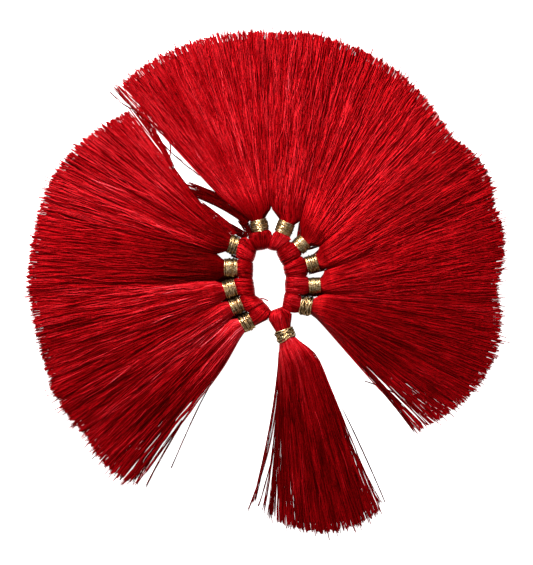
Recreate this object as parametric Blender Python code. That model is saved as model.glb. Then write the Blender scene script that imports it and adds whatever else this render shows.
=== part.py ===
"""Twelve silk tassels strung on one closed cord, lying in a ring with their skirts fanned out.

Each tassel is a hank of silk thread folded over the cord, so its head and its skirt are one
piece, with gold thread wound round its neck. The ring lies on the plane z = 0, face up. Sizes
and places are in millimetres, and the meshes are in metres.
"""

import math
from collections import namedtuple

import bmesh
import bpy
from mathutils import Vector

MM = 0.001

# Driving sizes.
HEIGHT = 5.6  # head, neck and binding, from the surface to their top
GAP = 0.3  # between any two pieces
BINDING_WALL = 0.6
SHOULDER = 1.0  # how far past its binding a skirt is as wide as the binding again
HEAD_SHOULDER = 0.5  # the same for a head
SQUEEZED = 0.85  # of a skirt's height, left where the binding squeezes it
CROWN = 2.4  # how much higher a skirt swells where it is highest
CROWN_PLACE = 0.07  # where that is along the skirt
FIRST_PULL = 0.2  # how long a skirt's sides keep to its heading before they spread
CORD_DIAMETER = 1.2
NOSE_ROUNDING = 3.0  # the fold of the head over the cord
NOSE_LEAST = 0.45  # of the head's height, at the very end of the fold
HEAD_SQUARENESS = 2.8  # 2 would give the head an oval section
EDGE_HEIGHT = 0.45  # of a skirt's thickness, at its two sides
PACKING = 0.68  # 1 would thin a skirt exactly as fast as it widens
TUFT = 1.1  # from the tip of a tuft of the cut edge to the notch beside it
RIDGE = 0.16  # of a skirt's thickness, in its lengthwise ridges
RIDGE_TURN = 2.4  # radians from one step across to the next, so that no two ridges are alike
TUFT_TURN = 1.9  # the same for the lengths of the tufts

NO_BOW = Vector((0, 0))

# How finely each shape is divided.
ACROSS = 10
BINDING_SIDES = 12
CORD_SIDES = 8
CORD_STEPS = 4
BEND_STEPS = 6

# Sections of the skirt: the distance along it, from 0 at the neck to 1 at the cut edge, and how
# flat the section lies there, from 0 for the round neck to 1 for a flat underside.
SkirtSection = namedtuple("SkirtSection", "along flatness")
SKIRT_SECTIONS = (
    SkirtSection(0.03, 0.35),
    SkirtSection(0.08, 1.0),
    SkirtSection(0.18, 1.0),
    SkirtSection(0.36, 1.0),
    SkirtSection(0.56, 1.0),
    SkirtSection(0.79, 1.0),
    SkirtSection(1.0, 1.0),
)

# Sections of the head between the seams' outer and inner ends, 0 and 1.
HEAD_SECTIONS = (0.0, 0.5, 0.86, 1.0)

# One row for each tassel, clockwise from the top. neck is the middle of its binding, heading is
# the way from the ring outwards in degrees, and bow is how far the cut edge bulges past the
# straight line between its two corners.
Tassel = namedtuple("Tassel", "neck_x neck_y heading width length bow")
TASSELS = (
    Tassel(-2.4, 20.3, 105, 5.9, 4.3, 7.2),
    Tassel(6.7, 19.4, 67, 6.1, 4.6, 1.7),
    Tassel(12.7, 13.5, 42, 6.0, 4.0, 6.4),
    Tassel(16.6, 6.7, 16, 5.8, 4.6, 4.8),
    Tassel(17.5, -1.3, 3, 5.6, 4.4, 3.9),
    Tassel(14.4, -8.5, -8, 6.3, 4.3, 12.4),
    Tassel(6.9, -18.9, -68, 6.5, 4.0, 6.0),
    Tassel(-7.0, -14.5, -151, 6.1, 4.5, 2.9),
    Tassel(-10.6, -8.6, -157, 5.8, 4.6, 1.4),
    Tassel(-13.0, -2.4, -164, 6.3, 4.7, 0.9),
    Tassel(-12.7, 5.1, 180, 6.4, 5.0, 1.2),
    Tassel(-11.8, 13.3, 165, 6.4, 3.6, 7.4),
)

# One row for each seam between the heads of a tassel and the next one, from the outer end, where
# their bindings part, to the inner end at the hole of the ring.
Seam = namedtuple("Seam", "outer_x outer_y inner_x inner_y")
SEAMS = (
    Seam(2.6, 17.5, 0.5, 11.9),
    Seam(9.0, 15.3, 3.4, 11.1),
    Seam(13.5, 9.8, 6.0, 5.7),
    Seam(15.0, 2.2, 6.9, 1.8),
    Seam(13.0, -4.6, 6.7, -3.5),
    Seam(9.3, -11.2, 5.7, -8.8),
    Seam(0.8, -13.2, 1.9, -10.3),
    Seam(-6.6, -10.9, -0.5, -7.2),
    Seam(-9.7, -4.7, -3.7, -4.8),
    Seam(-10.9, 1.3, -4.7, 1.4),
    Seam(-11.2, 9.0, -4.6, 7.1),
    Seam(-6.9, 16.2, -3.3, 11.2),
)

# One row for each straight side of a skirt. left_of and right_of are the tassels that meet there,
# with 0 on a side that lies free. A side runs straight from flare to tip, its outer corner.
Side = namedtuple("Side", "left_of right_of flare_x flare_y tip_x tip_y")
SIDES = (
    Side(2, 1, 1.9, 27.1, 6.1, 89.3),
    Side(3, 2, 12.1, 20.6, 24.8, 86.4),
    Side(4, 3, 18.8, 12.3, 66.8, 51.3),
    Side(5, 4, 21.0, 4.1, 81.4, 27.7),
    Side(6, 5, 20.9, -4.4, 82.4, -2.2),
    Side(0, 6, 24.5, -20.2, 54.0, -54.0),
    Side(7, 0, 19.2, -27.6, 41.3, -81.8),
    Side(0, 7, 4.3, -30.6, 3.8, -85.9),
    Side(8, 0, -16.6, -32.9, -46.4, -72.7),
    Side(9, 8, -12.2, -13.0, -63.4, -56.5),
    Side(10, 9, -15.1, -6.8, -77.0, -37.8),
    Side(11, 10, -17.2, 0.6, -85.3, -2.9),
    Side(12, 11, -18.2, 10.2, -82.1, 20.9),
    Side(0, 12, -25.6, 31.3, -48.6, 61.9),
    Side(1, 0, -17.3, 31.3, -53.6, 70.2),
)

Finish = namedtuple("Finish", "colour roughness metallic")
SILK = Finish((0.48, 0.004, 0.012, 1.0), 0.36, 0.0)
GOLD_THREAD = Finish((0.52, 0.34, 0.13, 1.0), 0.32, 1.0)
CORD_SILK = Finish((0.20, 0.004, 0.010, 1.0), 0.5, 0.0)


def material(name, finish):
    made = bpy.data.materials.new(name)
    made.use_nodes = True
    shader = made.node_tree.nodes["Principled BSDF"]
    shader.inputs["Base Color"].default_value = finish.colour
    shader.inputs["Roughness"].default_value = finish.roughness
    shader.inputs["Metallic"].default_value = finish.metallic
    return made


def add_piece(name, points, faces, finish):
    """A mesh object from points in millimetres, shaded smooth across its shallow edges."""
    mesh = bpy.data.meshes.new(name)
    mesh.from_pydata([Vector(point) * MM for point in points], [], faces)
    shape = bmesh.new()
    shape.from_mesh(mesh)
    bmesh.ops.recalc_face_normals(shape, faces=shape.faces)
    shape.to_mesh(mesh)
    shape.free()
    mesh.shade_smooth()
    mesh.set_sharp_from_angle(angle=math.radians(50))
    mesh.materials.append(finish)
    piece = bpy.data.objects.new(name, mesh)
    bpy.context.scene.collection.objects.link(piece)
    return piece


def direction(degrees):
    return Vector((math.cos(math.radians(degrees)), math.sin(math.radians(degrees))))


def left_of(way):
    """The unit vector to the left of a way across the plane."""
    return Vector((-way.y, way.x)).normalized()


def bend(start, start_way, end, end_way):
    """Points of a smooth curve from start to end, leaving and arriving along the given ways."""
    reach = (end - start).length
    points = []
    for step in range(BEND_STEPS):
        t = step / BEND_STEPS
        points.append(
            start * (2 * t**3 - 3 * t**2 + 1)
            + start_way * reach * FIRST_PULL * (t**3 - 2 * t**2 + t)
            + end * (3 * t**2 - 2 * t**3)
            + end_way * reach * (t**3 - t**2)
        )
    return points + [end]


def along(path, part):
    """The point at a part of a path's length, from 0 to 1."""
    lengths = [(b - a).length for a, b in zip(path, path[1:])]
    left = part * sum(lengths)
    for a, b, length in zip(path, path[1:], lengths):
        if left <= length:
            return a.lerp(b, left / length)
        left -= length
    return path[-1]


def rounded(step, power):
    """Place across and height of a rounded section at one of its steps, as parts of its half
    width and half height. A power of 2 is an ellipse, and a higher one is squarer."""
    turn = math.pi * (step + 0.5) / (ACROSS + 1)
    across = math.copysign(abs(math.cos(turn)) ** (2 / power), -math.cos(turn))
    return across, math.sin(turn) ** (2 / power)


def section(left, right, height, middle=HEIGHT / 2, power=2.0, flatness=0.0, bow=NO_BOW, phase=0):
    """One closed ring of points: over the top from left to right, then back underneath. middle is
    how high a round section has its middle, and phase shifts the ridges of a flat one."""
    top, bottom = [], []
    for step in range(ACROSS + 1):
        across, rise = rounded(step, power)
        across += flatness * (2 * step / ACROSS - 1 - across)
        place = left.lerp(right, (across + 1) / 2) + bow * (1 - across**2)
        upper, lower = middle + rise * height / 2, middle - rise * height / 2
        flat_top = height * (EDGE_HEIGHT + (1 - EDGE_HEIGHT) * (1 - across**4))
        flat_top *= 1 + RIDGE * math.sin(RIDGE_TURN * step + phase)
        top.append((*place, upper + flatness * (flat_top - upper)))
        bottom.append((*place, lower * (1 - flatness)))
    return top + bottom[::-1]


def head_side(tassel, way, seam, hand):
    """The outer and inner end of a head's side along a seam. The outer end slides in along the
    seam until it clears the binding. hand is 1 for the head's left side and -1 for its right."""
    outer = Vector((seam.outer_x, seam.outer_y))
    inner = Vector((seam.inner_x, seam.inner_y))
    neck = Vector((tassel.neck_x, tassel.neck_y))
    limit = -tassel.length / 2 - HEAD_SHOULDER
    outer_at, inner_at = (outer - neck).dot(way), (inner - neck).dot(way)
    if outer_at > limit:
        outer = outer.lerp(inner, (outer_at - limit) / (outer_at - inner_at))
    inset = left_of(outer - inner) * -hand * GAP / 2
    return outer + inset, inner + inset


def skirt_side(number, tassel, way, hand):
    """A skirt's side, from the shoulder past its binding to the corner of its cut edge. hand is 1
    for its left side and -1 for its right side."""
    rows = [row for row in SIDES if number == (row.left_of if hand > 0 else row.right_of)]
    flare = Vector((rows[0].flare_x, rows[0].flare_y))
    tip = Vector((rows[0].tip_x, rows[0].tip_y))
    inset = left_of(tip - flare) * -hand * GAP / 2
    start = Vector((tassel.neck_x, tassel.neck_y)) + way * (tassel.length / 2 + SHOULDER)
    start += left_of(way) * hand * tassel.width / 2
    run = (tip - flare).normalized()
    return bend(start, way, flare + inset, run) + [tip + inset]


def tufted(ring, neck, number):
    """The cut edge, with each inner point of the ring moved out or in to make uneven tufts."""
    moved = []
    for index, (x, y, z) in enumerate(ring):
        step = index if index <= ACROSS else 2 * ACROSS + 1 - index
        out = (Vector((x, y)) - neck).normalized()
        tuft = TUFT * (0.5 - step % 2) * (1 + 0.5 * math.sin(TUFT_TURN * step + number))
        if step in (0, ACROSS):
            tuft = 0
        moved.append((x + out.x * tuft, y + out.y * tuft, z))
    return moved


def hank(number, finish, tunnel):
    """Head, neck and skirt of one tassel, with the tunnel that the cord runs through."""
    tassel = TASSELS[number - 1]
    way = direction(tassel.heading)
    aside = left_of(way)
    neck = Vector((tassel.neck_x, tassel.neck_y))
    inner_size = math.cos(math.pi / BINDING_SIDES)
    neck_half = (tassel.width / 2 - BINDING_WALL) * inner_size - GAP
    neck_rise = (HEIGHT / 2 - BINDING_WALL) * inner_size - GAP

    head_left = head_side(tassel, way, SEAMS[number - 2], 1)
    head_right = head_side(tassel, way, SEAMS[number - 1], -1)
    head_length = (head_left[0] - head_left[1] + head_right[0] - head_right[1]).length / 2
    rings = []
    for part in reversed(HEAD_SECTIONS):
        left, right = along(head_left, part), along(head_right, part)
        to_nose = (1 - part) * head_length / NOSE_ROUNDING
        height = HEIGHT * max(NOSE_LEAST, math.sqrt(1 - max(0, 1 - to_nose) ** 2))
        rings.append(section(left, right, height, power=HEAD_SQUARENESS))
    for end in (-1, 1):
        middle = neck + way * end * (tassel.length / 2 + GAP)
        left, right = middle + aside * neck_half, middle - aside * neck_half
        rings.append(section(left, right, 2 * neck_rise))

    left_side = skirt_side(number, tassel, way, 1)
    right_side = skirt_side(number, tassel, way, -1)
    rings.append(section(left_side[0], right_side[0], HEIGHT * SQUEEZED))
    chord = (left_side[-1] + right_side[-1]) / 2
    bow = (chord - neck).normalized() * tassel.bow
    for row in SKIRT_SECTIONS:
        left, right = along(left_side, row.along), along(right_side, row.along)
        height = HEIGHT * (tassel.width / max(tassel.width, (right - left).length)) ** PACKING
        height *= min(1, SQUEEZED + 3 * row.along)
        swell = row.along / CROWN_PLACE
        height += CROWN * swell * math.exp(1 - swell)
        rings.append(
            section(
                left,
                right,
                height,
                middle=height / 2,
                flatness=row.flatness,
                bow=bow * row.along,
                phase=number,
            )
        )
    rings[-1] = tufted(rings[-1], neck, number)
    points, faces = skinned(rings)
    piece = add_piece(f"tassel_{number:02d}_hank", points, faces, finish)
    cut = piece.modifiers.new("tunnel", "BOOLEAN")
    cut.object = tunnel
    cut.solver = "EXACT"
    return piece


def skinned(rings):
    """Points and faces of a hank's closed skin. Where its underside is flat, one face covers it,
    and of the rings there only the outer points are kept underneath."""
    around = 2 * ACROSS + 2
    landing = len(rings) - sum(row.flatness == 1 for row in SKIRT_SECTIONS)
    points, indices = [], []
    for number, ring in enumerate(rings):
        row = []
        for index, point in enumerate(ring):
            flat = landing < number < len(rings) - 1 and ACROSS + 1 < index < around - 1
            row.append(None if flat else len(points))
            if not flat:
                points.append(point)
        indices.append(row)
    faces = [indices[0][::-1]]
    for number, (a, b) in enumerate(zip(indices, indices[1:])):
        for index in range(around):
            after = (index + 1) % around
            if number >= landing and ACROSS < index < around - 1:
                continue
            faces.append((a[index], a[after], b[after], b[index]))
    right_under = [row[ACROSS + 1] for row in indices[landing + 1 : -1]]
    left_under = [row[around - 1] for row in indices[landing + 1 : -1]]
    faces.append(
        indices[landing][ACROSS + 1 :]
        + left_under
        + indices[-1][ACROSS + 1 :][::-1]
        + right_under[::-1]
    )
    cut = indices[-1]
    for step in range(ACROSS):
        faces.append((cut[step], cut[step + 1], cut[around - 2 - step], cut[around - 1 - step]))
    return points, faces


def binding(number, finish):
    """The gold thread wound round one neck, as a tube lying flat on one of its sides."""
    tassel = TASSELS[number - 1]
    way = direction(tassel.heading)
    aside = left_of(way)
    neck = Vector((tassel.neck_x, tassel.neck_y))
    points = []
    for end, wall in ((-1, 0), (1, 0), (1, BINDING_WALL), (-1, BINDING_WALL)):
        middle = neck + way * end * tassel.length / 2
        half_width = tassel.width / 2 - wall
        half_height = (HEIGHT / 2) / math.cos(math.pi / BINDING_SIDES) - wall
        for side in range(BINDING_SIDES):
            turn = 2 * math.pi * (side + 0.5) / BINDING_SIDES
            place = middle + aside * half_width * math.cos(turn)
            points.append((*place, HEIGHT / 2 + half_height * math.sin(turn)))
    return add_piece(f"tassel_{number:02d}_binding", points, closed_faces(4, BINDING_SIDES), finish)


def closed_faces(rings, sides):
    """Faces of a skin that closes on itself both along and around."""
    faces = []
    for ring in range(rings):
        for side in range(sides):
            a, b = ring * sides, (ring + 1) % rings * sides
            after = (side + 1) % sides
            faces.append((a + side, a + after, b + after, b + side))
    return faces


def cord_route():
    """A smooth closed curve through the middle of each seam between two heads."""
    through = [Vector((row.outer_x + row.inner_x, row.outer_y + row.inner_y)) / 2 for row in SEAMS]
    route = []
    for index, here in enumerate(through):
        before, after = through[index - 1], through[(index + 1) % len(through)]
        beyond = through[(index + 2) % len(through)]
        for step in range(CORD_STEPS):
            t = step / CORD_STEPS
            route.append(
                0.5
                * (
                    2 * here
                    + (after - before) * t
                    + (2 * before - 5 * here + 4 * after - beyond) * t**2
                    + (3 * here - before - 3 * after + beyond) * t**3
                )
            )
    return route


def ring_tube(name, radius, finish):
    """A tube of the given radius along the cord's route, level with the middle of the heads."""
    route = cord_route()
    points = []
    for index, here in enumerate(route):
        run = route[(index + 1) % len(route)] - route[index - 1]
        for side in range(CORD_SIDES):
            turn = 2 * math.pi * side / CORD_SIDES
            place = here + left_of(run) * radius * math.cos(turn)
            points.append((*place, HEIGHT / 2 + radius * math.sin(turn)))
    return add_piece(name, points, closed_faces(len(route), CORD_SIDES), finish)


for old in list(bpy.data.objects):
    bpy.data.objects.remove(old)
silk = material("dyed silk thread", SILK)
gold = material("gold metallic thread", GOLD_THREAD)
cord_silk = material("silk cord", CORD_SILK)

ring_tube("stringing_cord", CORD_DIAMETER / 2, cord_silk)
tunnel_radius = (CORD_DIAMETER / 2 + GAP) / math.cos(math.pi / CORD_SIDES)
tunnel_cutter = ring_tube("tunnel_cutter", tunnel_radius, cord_silk)
tunnel_cutter.hide_render = True
tunnel_cutter.display_type = "WIRE"
for tassel_number in range(1, len(TASSELS) + 1):
    hank(tassel_number, silk, tunnel_cutter)
    binding(tassel_number, gold)
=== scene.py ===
import math
from collections import namedtuple
from functools import partial

import bmesh
import bpy
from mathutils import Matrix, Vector


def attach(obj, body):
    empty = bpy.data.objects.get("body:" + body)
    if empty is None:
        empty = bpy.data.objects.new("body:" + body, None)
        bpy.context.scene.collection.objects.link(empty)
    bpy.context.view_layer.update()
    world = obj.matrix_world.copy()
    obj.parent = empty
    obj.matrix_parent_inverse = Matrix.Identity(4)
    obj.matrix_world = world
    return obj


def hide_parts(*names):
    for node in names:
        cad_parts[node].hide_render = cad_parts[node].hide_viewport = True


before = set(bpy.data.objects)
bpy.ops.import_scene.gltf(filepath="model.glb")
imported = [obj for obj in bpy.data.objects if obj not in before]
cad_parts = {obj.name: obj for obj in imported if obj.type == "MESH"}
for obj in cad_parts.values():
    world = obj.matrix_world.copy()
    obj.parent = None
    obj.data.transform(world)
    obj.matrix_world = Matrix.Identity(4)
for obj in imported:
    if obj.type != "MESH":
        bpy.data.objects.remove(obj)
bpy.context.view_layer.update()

# Skirts --------------------------------------------------------------------------------------
# The loose ends of each tassel: a thick bunch of dyed silk floss, gathered by the binding and
# combed out into a flat fan. The floss clings together in locks, and its cut ends make an uneven
# edge. Nothing holds the ends but the binding. Sizes are in millimetres, and meshes in metres.

MM = 0.001
HEIGHT = 5.6
BINDING_WALL = 0.6
# A skirt's side bends from the binding, a little outside it, to its straight part.
SHOULDER = 1.0
SHOULDER_EASE = 0.2
FIRST_PULL = 0.2
BEND_STEPS = 8
# Its rows start inside the binding, and the rest are at these parts of the way to its cut edge
# and past it. From the part FLAT_FROM on, its lower side is flat.
TUCKED = 0.6
ROW_PARTS = (0, 0.012, 0.03, 0.055, 0.09, 0.13, 0.18, 0.25, 0.34, 0.45, 0.58, 0.72, 0.86, 1, 1.09)
FLAT_FROM = 0.13
LANES = 15
# The binding squeezes it, it swells to its crown, and it thins as it spreads and at its sides.
PACKING = 0.68
SIDE_THICKNESS = 0.45
SQUEEZED = 0.85
CROWN = 2.4
CROWN_PART = 0.07
OVERLAP = 1.1


def table(name, columns, *rows):
    """Rows whose values go by the names of their columns."""
    row_kind = namedtuple(name, columns)
    return [row_kind(*row) for row in rows]


TASSELS = table(
    "Tassel",
    "neck_x neck_y heading width length bow",
    (-2.4, 20.3, 105, 5.9, 4.3, 7.2),
    (6.7, 19.4, 67, 6.1, 4.6, 1.7),
    (12.7, 13.5, 42, 6.0, 4.0, 6.4),
    (16.6, 6.7, 16, 5.8, 4.6, 4.8),
    (17.5, -1.3, 3, 5.6, 4.4, 3.9),
    (14.4, -8.5, -8, 6.3, 4.3, 12.4),
    (6.9, -18.9, -68, 6.5, 4.0, 6.0),
    (-7.0, -14.5, -151, 6.1, 4.5, 2.9),
    (-10.6, -8.6, -157, 5.8, 4.6, 1.4),
    (-13.0, -2.4, -164, 6.3, 4.7, 0.9),
    (-12.7, 5.1, 180, 6.4, 5.0, 1.2),
    (-11.8, 13.3, 165, 6.4, 3.6, 7.4),
)

# The straight sides of the skirts, from flare to tip. left_of and right_of are the tassels that
# meet there, with 0 on a side that lies free.
SIDES = table(
    "Side",
    "left_of right_of flare_x flare_y tip_x tip_y",
    (2, 1, 1.9, 27.1, 6.1, 89.3),
    (3, 2, 12.1, 20.6, 24.8, 86.4),
    (4, 3, 18.8, 12.3, 66.8, 51.3),
    (5, 4, 21.0, 4.1, 81.4, 27.7),
    (6, 5, 20.9, -4.4, 82.4, -2.2),
    (0, 6, 24.5, -20.2, 54.0, -54.0),
    (7, 0, 19.2, -27.6, 41.3, -81.8),
    (0, 7, 4.3, -30.6, 3.8, -85.9),
    (8, 0, -16.6, -32.9, -46.4, -72.7),
    (9, 8, -12.2, -13.0, -63.4, -56.5),
    (10, 9, -15.1, -6.8, -77.0, -37.8),
    (11, 10, -17.2, 0.6, -85.3, -2.9),
    (12, 11, -18.2, 10.2, -82.1, 20.9),
    (0, 12, -25.6, 31.3, -48.6, 61.9),
    (1, 0, -17.3, 31.3, -53.6, 70.2),
)

# How each skirt's floss lies: how many locks it has and how far they draw together, the share of
# its width that lies loose at either side, how far its threads wander, how high its ridges are,
# how uneven its shade is, and how pale it is at the neck, just past it, midway and at the cut edge.
# These four shades are painted light and shade. They are set skirt by skirt so that the upper
# skirts come out paler and the lower ones darker, and the necks of the upper skirts darker and
# those of the lower ones paler, as the light falls on them.
# Nothing lies loose at a tight side.
TIGHT = 0.001
FLOSS = table(
    "Floss",
    "locks pull loose_left loose_right wander ridge contrast shades",
    (60, 0.20, TIGHT, TIGHT, 7.0, 0.5, 0.52, (0.22, 0.52, 0.56, 0.55)),
    (18, 0.20, TIGHT, TIGHT, 7.0, 0.5, 0.50, (0.33, 0.52, 0.55, 0.55)),
    (52, 0.22, TIGHT, TIGHT, 6.5, 0.5, 0.40, (0.20, 0.51, 0.53, 0.50)),
    (26, 0.26, TIGHT, TIGHT, 6.0, 0.6, 0.40, (0.28, 0.51, 0.39, 0.47)),
    (28, 0.26, TIGHT, TIGHT, 5.5, 0.5, 0.26, (0.30, 0.54, 0.48, 0.49)),
    (48, 0.28, TIGHT, 0.17, 5.0, 0.6, 0.42, (0.28, 0.50, 0.40, 0.49)),
    (36, 0.30, 0.08, 0.14, 4.5, 0.7, 0.65, (0.68, 0.46, 0.32, 0.38)),
    (13, 0.35, 0.48, TIGHT, 5.0, 0.9, 0.75, (0.74, 0.60, 0.35, 0.48)),
    (20, 0.35, TIGHT, TIGHT, 5.0, 0.9, 0.78, (0.54, 0.55, 0.43, 0.46)),
    (32, 0.30, TIGHT, TIGHT, 5.0, 0.9, 0.72, (0.54, 0.56, 0.50, 0.48)),
    (22, 0.30, TIGHT, TIGHT, 5.5, 0.7, 0.30, (0.24, 0.19, 0.42, 0.53)),
    (46, 0.28, TIGHT, 0.04, 6.0, 0.9, 0.6, (0.30, 0.34, 0.56, 0.56)),
)


def direction(degrees):
    return Vector((math.cos(math.radians(degrees)), math.sin(math.radians(degrees))))


def left_of(way):
    return Vector((-way.y, way.x)).normalized()


def along(path, part):
    """The point at a part of a path's length. Past 1 it goes on straight."""
    lengths = [(b - a).length for a, b in zip(path, path[1:])]
    left = part * sum(lengths)
    for a, b, length in zip(path, path[1:], lengths):
        if left <= length:
            break
        left -= length
    else:
        left += length
    return a + (b - a) * (left / length)


def smooth_bend(start, leaving, end, arriving, steps):
    """Points on a bend that leaves start and arrives at end with those pulls, without the end."""
    return [
        start * (2 * t**3 - 3 * t**2 + 1)
        + leaving * (t**3 - 2 * t**2 + t)
        + end * (3 * t**2 - 2 * t**3)
        + arriving * (t**3 - t**2)
        for t in (step / steps for step in range(steps))
    ]


def skirt_side(number, hand):
    """A skirt's side, from just past its binding to the corner of its cut edge. hand is 1 for its
    left side and -1 for its right side."""
    tassel = TASSELS[number - 1]
    way = direction(tassel.heading)
    row = next(s for s in SIDES if number == (s.left_of if hand > 0 else s.right_of))
    flare, tip = Vector((row.flare_x, row.flare_y)), Vector((row.tip_x, row.tip_y))
    run = (tip - flare).normalized()
    start = Vector((tassel.neck_x, tassel.neck_y)) + way * (tassel.length / 2 + SHOULDER)
    start += left_of(way) * hand * (tassel.width / 2 + SHOULDER_EASE)
    reach = (flare - start).length
    bend = smooth_bend(start, way * reach * FIRST_PULL, flare, run * reach, BEND_STEPS)
    return bend + [flare, tip]


def guide(name, rows):
    """A grid that threads are laid on. Each row is its upper points and its lower points, and the
    grid's own points are the upper ones."""
    lanes = len(rows[0][0])
    mesh = bpy.data.meshes.new(name)
    faces = []
    for row in range(len(rows) - 1):
        for lane in range(lanes - 1):
            a = row * lanes + lane
            faces.append((a, a + 1, a + lanes + 1, a + lanes))
    mesh.from_pydata([Vector(p) * MM for upper, _ in rows for p in upper], [], faces)
    under = mesh.attributes.new("under", "FLOAT_VECTOR", "POINT")
    under.data.foreach_set("vector", [c * MM for _, lower in rows for p in lower for c in p])
    middles = [Vector(upper[lanes // 2]) for upper, _ in rows]
    reached = [0.0]
    for a, b in zip(middles, middles[1:]):
        reached.append(reached[-1] + (b - a).length)
    chart = mesh.uv_layers.new(name="chart")
    for loop in mesh.loops:
        row, lane = divmod(loop.vertex_index, lanes)
        chart.data[loop.index].uv = (lane / (lanes - 1), reached[row] / reached[-1])
    return mesh, reached


def skirt_rows(number):
    """Rows across a skirt, from inside its binding to just past its cut edge."""
    tassel = TASSELS[number - 1]
    way = direction(tassel.heading)
    aside = left_of(way)
    neck = Vector((tassel.neck_x, tassel.neck_y))
    left_side, right_side = skirt_side(number, 1), skirt_side(number, -1)
    meets = [all(side[:2]) for hand in (0, 1) for side in SIDES if side[hand] == number]
    chord = (left_side[-1] + right_side[-1]) / 2
    bow = (chord - neck).normalized() * tassel.bow
    sections = []
    for tucked, wall in ((TUCKED, BINDING_WALL), (0, BINDING_WALL / 2)):
        middle = neck + way * (tassel.length / 2 - tucked)
        half = tassel.width / 2 - wall
        sections.append((middle + aside * half, middle - aside * half, 0.0, 2 * half, 0.0))
    for part in ROW_PARTS:
        left, right = along(left_side, part), along(right_side, part)
        # Where two skirts meet, their outermost threads lie over each other.
        lap = (right - left).normalized() * OVERLAP * min(1.0, 5 * part)
        left, right = left - lap * meets[0], right + lap * meets[1]
        height = HEIGHT * (tassel.width / max(tassel.width, (right - left).length)) ** PACKING
        # The binding squeezes the floss, which swells to a crown just past it.
        height *= min(1.0, SQUEEZED + 3 * part)
        height += CROWN * part / CROWN_PART * math.exp(1 - part / CROWN_PART)
        flat = min(1.0, part / FLAT_FROM)
        sections.append((left, right, part, height, flat * flat * (3 - 2 * flat)))
    rows = []
    for left, right, part, height, flat in sections:
        upper, lower = [], []
        middle = HEIGHT / 2 * (1 - flat) + height / 2 * flat
        for lane in range(LANES):
            turn = math.pi * lane / (LANES - 1)
            across = -math.cos(turn) * (1 - flat) + (2 * lane / (LANES - 1) - 1) * flat
            place = left.lerp(right, (across + 1) / 2) + bow * part * (1 - across**2)
            rise = height / 2 * math.sin(turn)
            flat_top = height * (SIDE_THICKNESS + (1 - SIDE_THICKNESS) * (1 - across**4))
            upper.append((*place, (middle + rise) * (1 - flat) + flat_top * flat))
            lower.append((*place, (middle - rise) * (1 - flat)))
        rows.append((upper, lower))
    return rows


def add(tree, kind, *values, inputs=(), **settings):
    """Adds a node and gives its first output. settings are its properties. values fill its inputs
    in order, and inputs by name: a socket is linked, and None leaves that input as it is."""
    made = tree.nodes.new(kind)
    for name, value in settings.items():
        setattr(made, name, value)
    shown = [socket for socket in made.inputs if socket.enabled]
    filled = list(zip(shown, values)) + [(made.inputs[name], value) for name, value in inputs]
    for socket, value in filled:
        if isinstance(value, bpy.types.NodeSocket):
            tree.links.new(value, socket)
        elif value is not None:
            socket.default_value = value
    return next((socket for socket in made.outputs if socket.enabled), made)


# The kinds of node that are used most often. The first two add where no operation is given, and
# NOISE is given its place, scale, detail and roughness.
MATH, VECTOR_MATH, MAP_RANGE = "ShaderNodeMath", "ShaderNodeVectorMath", "ShaderNodeMapRange"
COMBINE, SEPARATE = "ShaderNodeCombineXYZ", "ShaderNodeSeparateXYZ"
NOISE, RANDOM = "ShaderNodeTexNoise", "FunctionNodeRandomValue"
STORE, SAMPLE = "GeometryNodeStoreNamedAttribute", "GeometryNodeSampleUVSurface"
SMOOTH = {"interpolation_type": "SMOOTHSTEP"}


def geometry_tree(name, **sizes):
    """A tree that is given a guide, the named sizes of each type and a material, the function
    that adds to it, and the sockets that give the sizes inside it."""
    tree = bpy.data.node_groups.new(name, "GeometryNodeTree")
    sizes = {"Geometry": ("Guide",), **sizes, "Material": ("Material",)}
    for kind, names in sizes.items():
        for size in names:
            tree.interface.new_socket(size, in_out="INPUT", socket_type="NodeSocket" + kind)
    tree.interface.new_socket("Mesh", in_out="OUTPUT", socket_type="NodeSocketGeometry")
    given = tree.nodes.new("NodeGroupInput").outputs
    sockets = {size: given[size] for names in sizes.values() for size in names}
    return tree, partial(add, tree), sockets


def points_of_strands(put, steps):
    """How many points each of many strands has with that many steps, and each point's own
    number, the number of its strand and how far along the strand it is."""
    index = put("GeometryNodeInputIndex")
    points_each = put(MATH, steps, 1.0)
    strand = put(MATH, index, points_each, operation="DIVIDE")
    strand = put(MATH, strand, operation="FLOOR")
    part = put(MATH, index, points_each, operation="MODULO")
    return points_each, index, strand, put(MATH, part, steps, operation="DIVIDE")


LOOSE = ("Loose Left", "Loose Right")
SHADE_POINTS = ("Neck Shade", "Root Shade", "Middle Shade", "Edge Shade")
threads, put, given = geometry_tree(
    "laid threads",
    Int=("Threads", "Steps", "Seed"),
    Float=(
        "Thickness", "Spacing", "Edge", "Width", "Length", "Sheet", "Locks", "Pull", *LOOSE,
        "Wander", "Kink", "Ridge", "Tufts", *SHADE_POINTS, "Contrast", "Body",
    ),
)
points_each, index, thread, part = points_of_strands(put, given["Steps"])
draw = {}
draws = ("lane", "layer", "strays", "length", "girth", "shade", "long", "glint")
for number, name in enumerate(draws):
    seed = put(MATH, given["Seed"], float(number))
    draw[name] = put(RANDOM, 0.0, 1.0, thread, seed)

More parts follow.
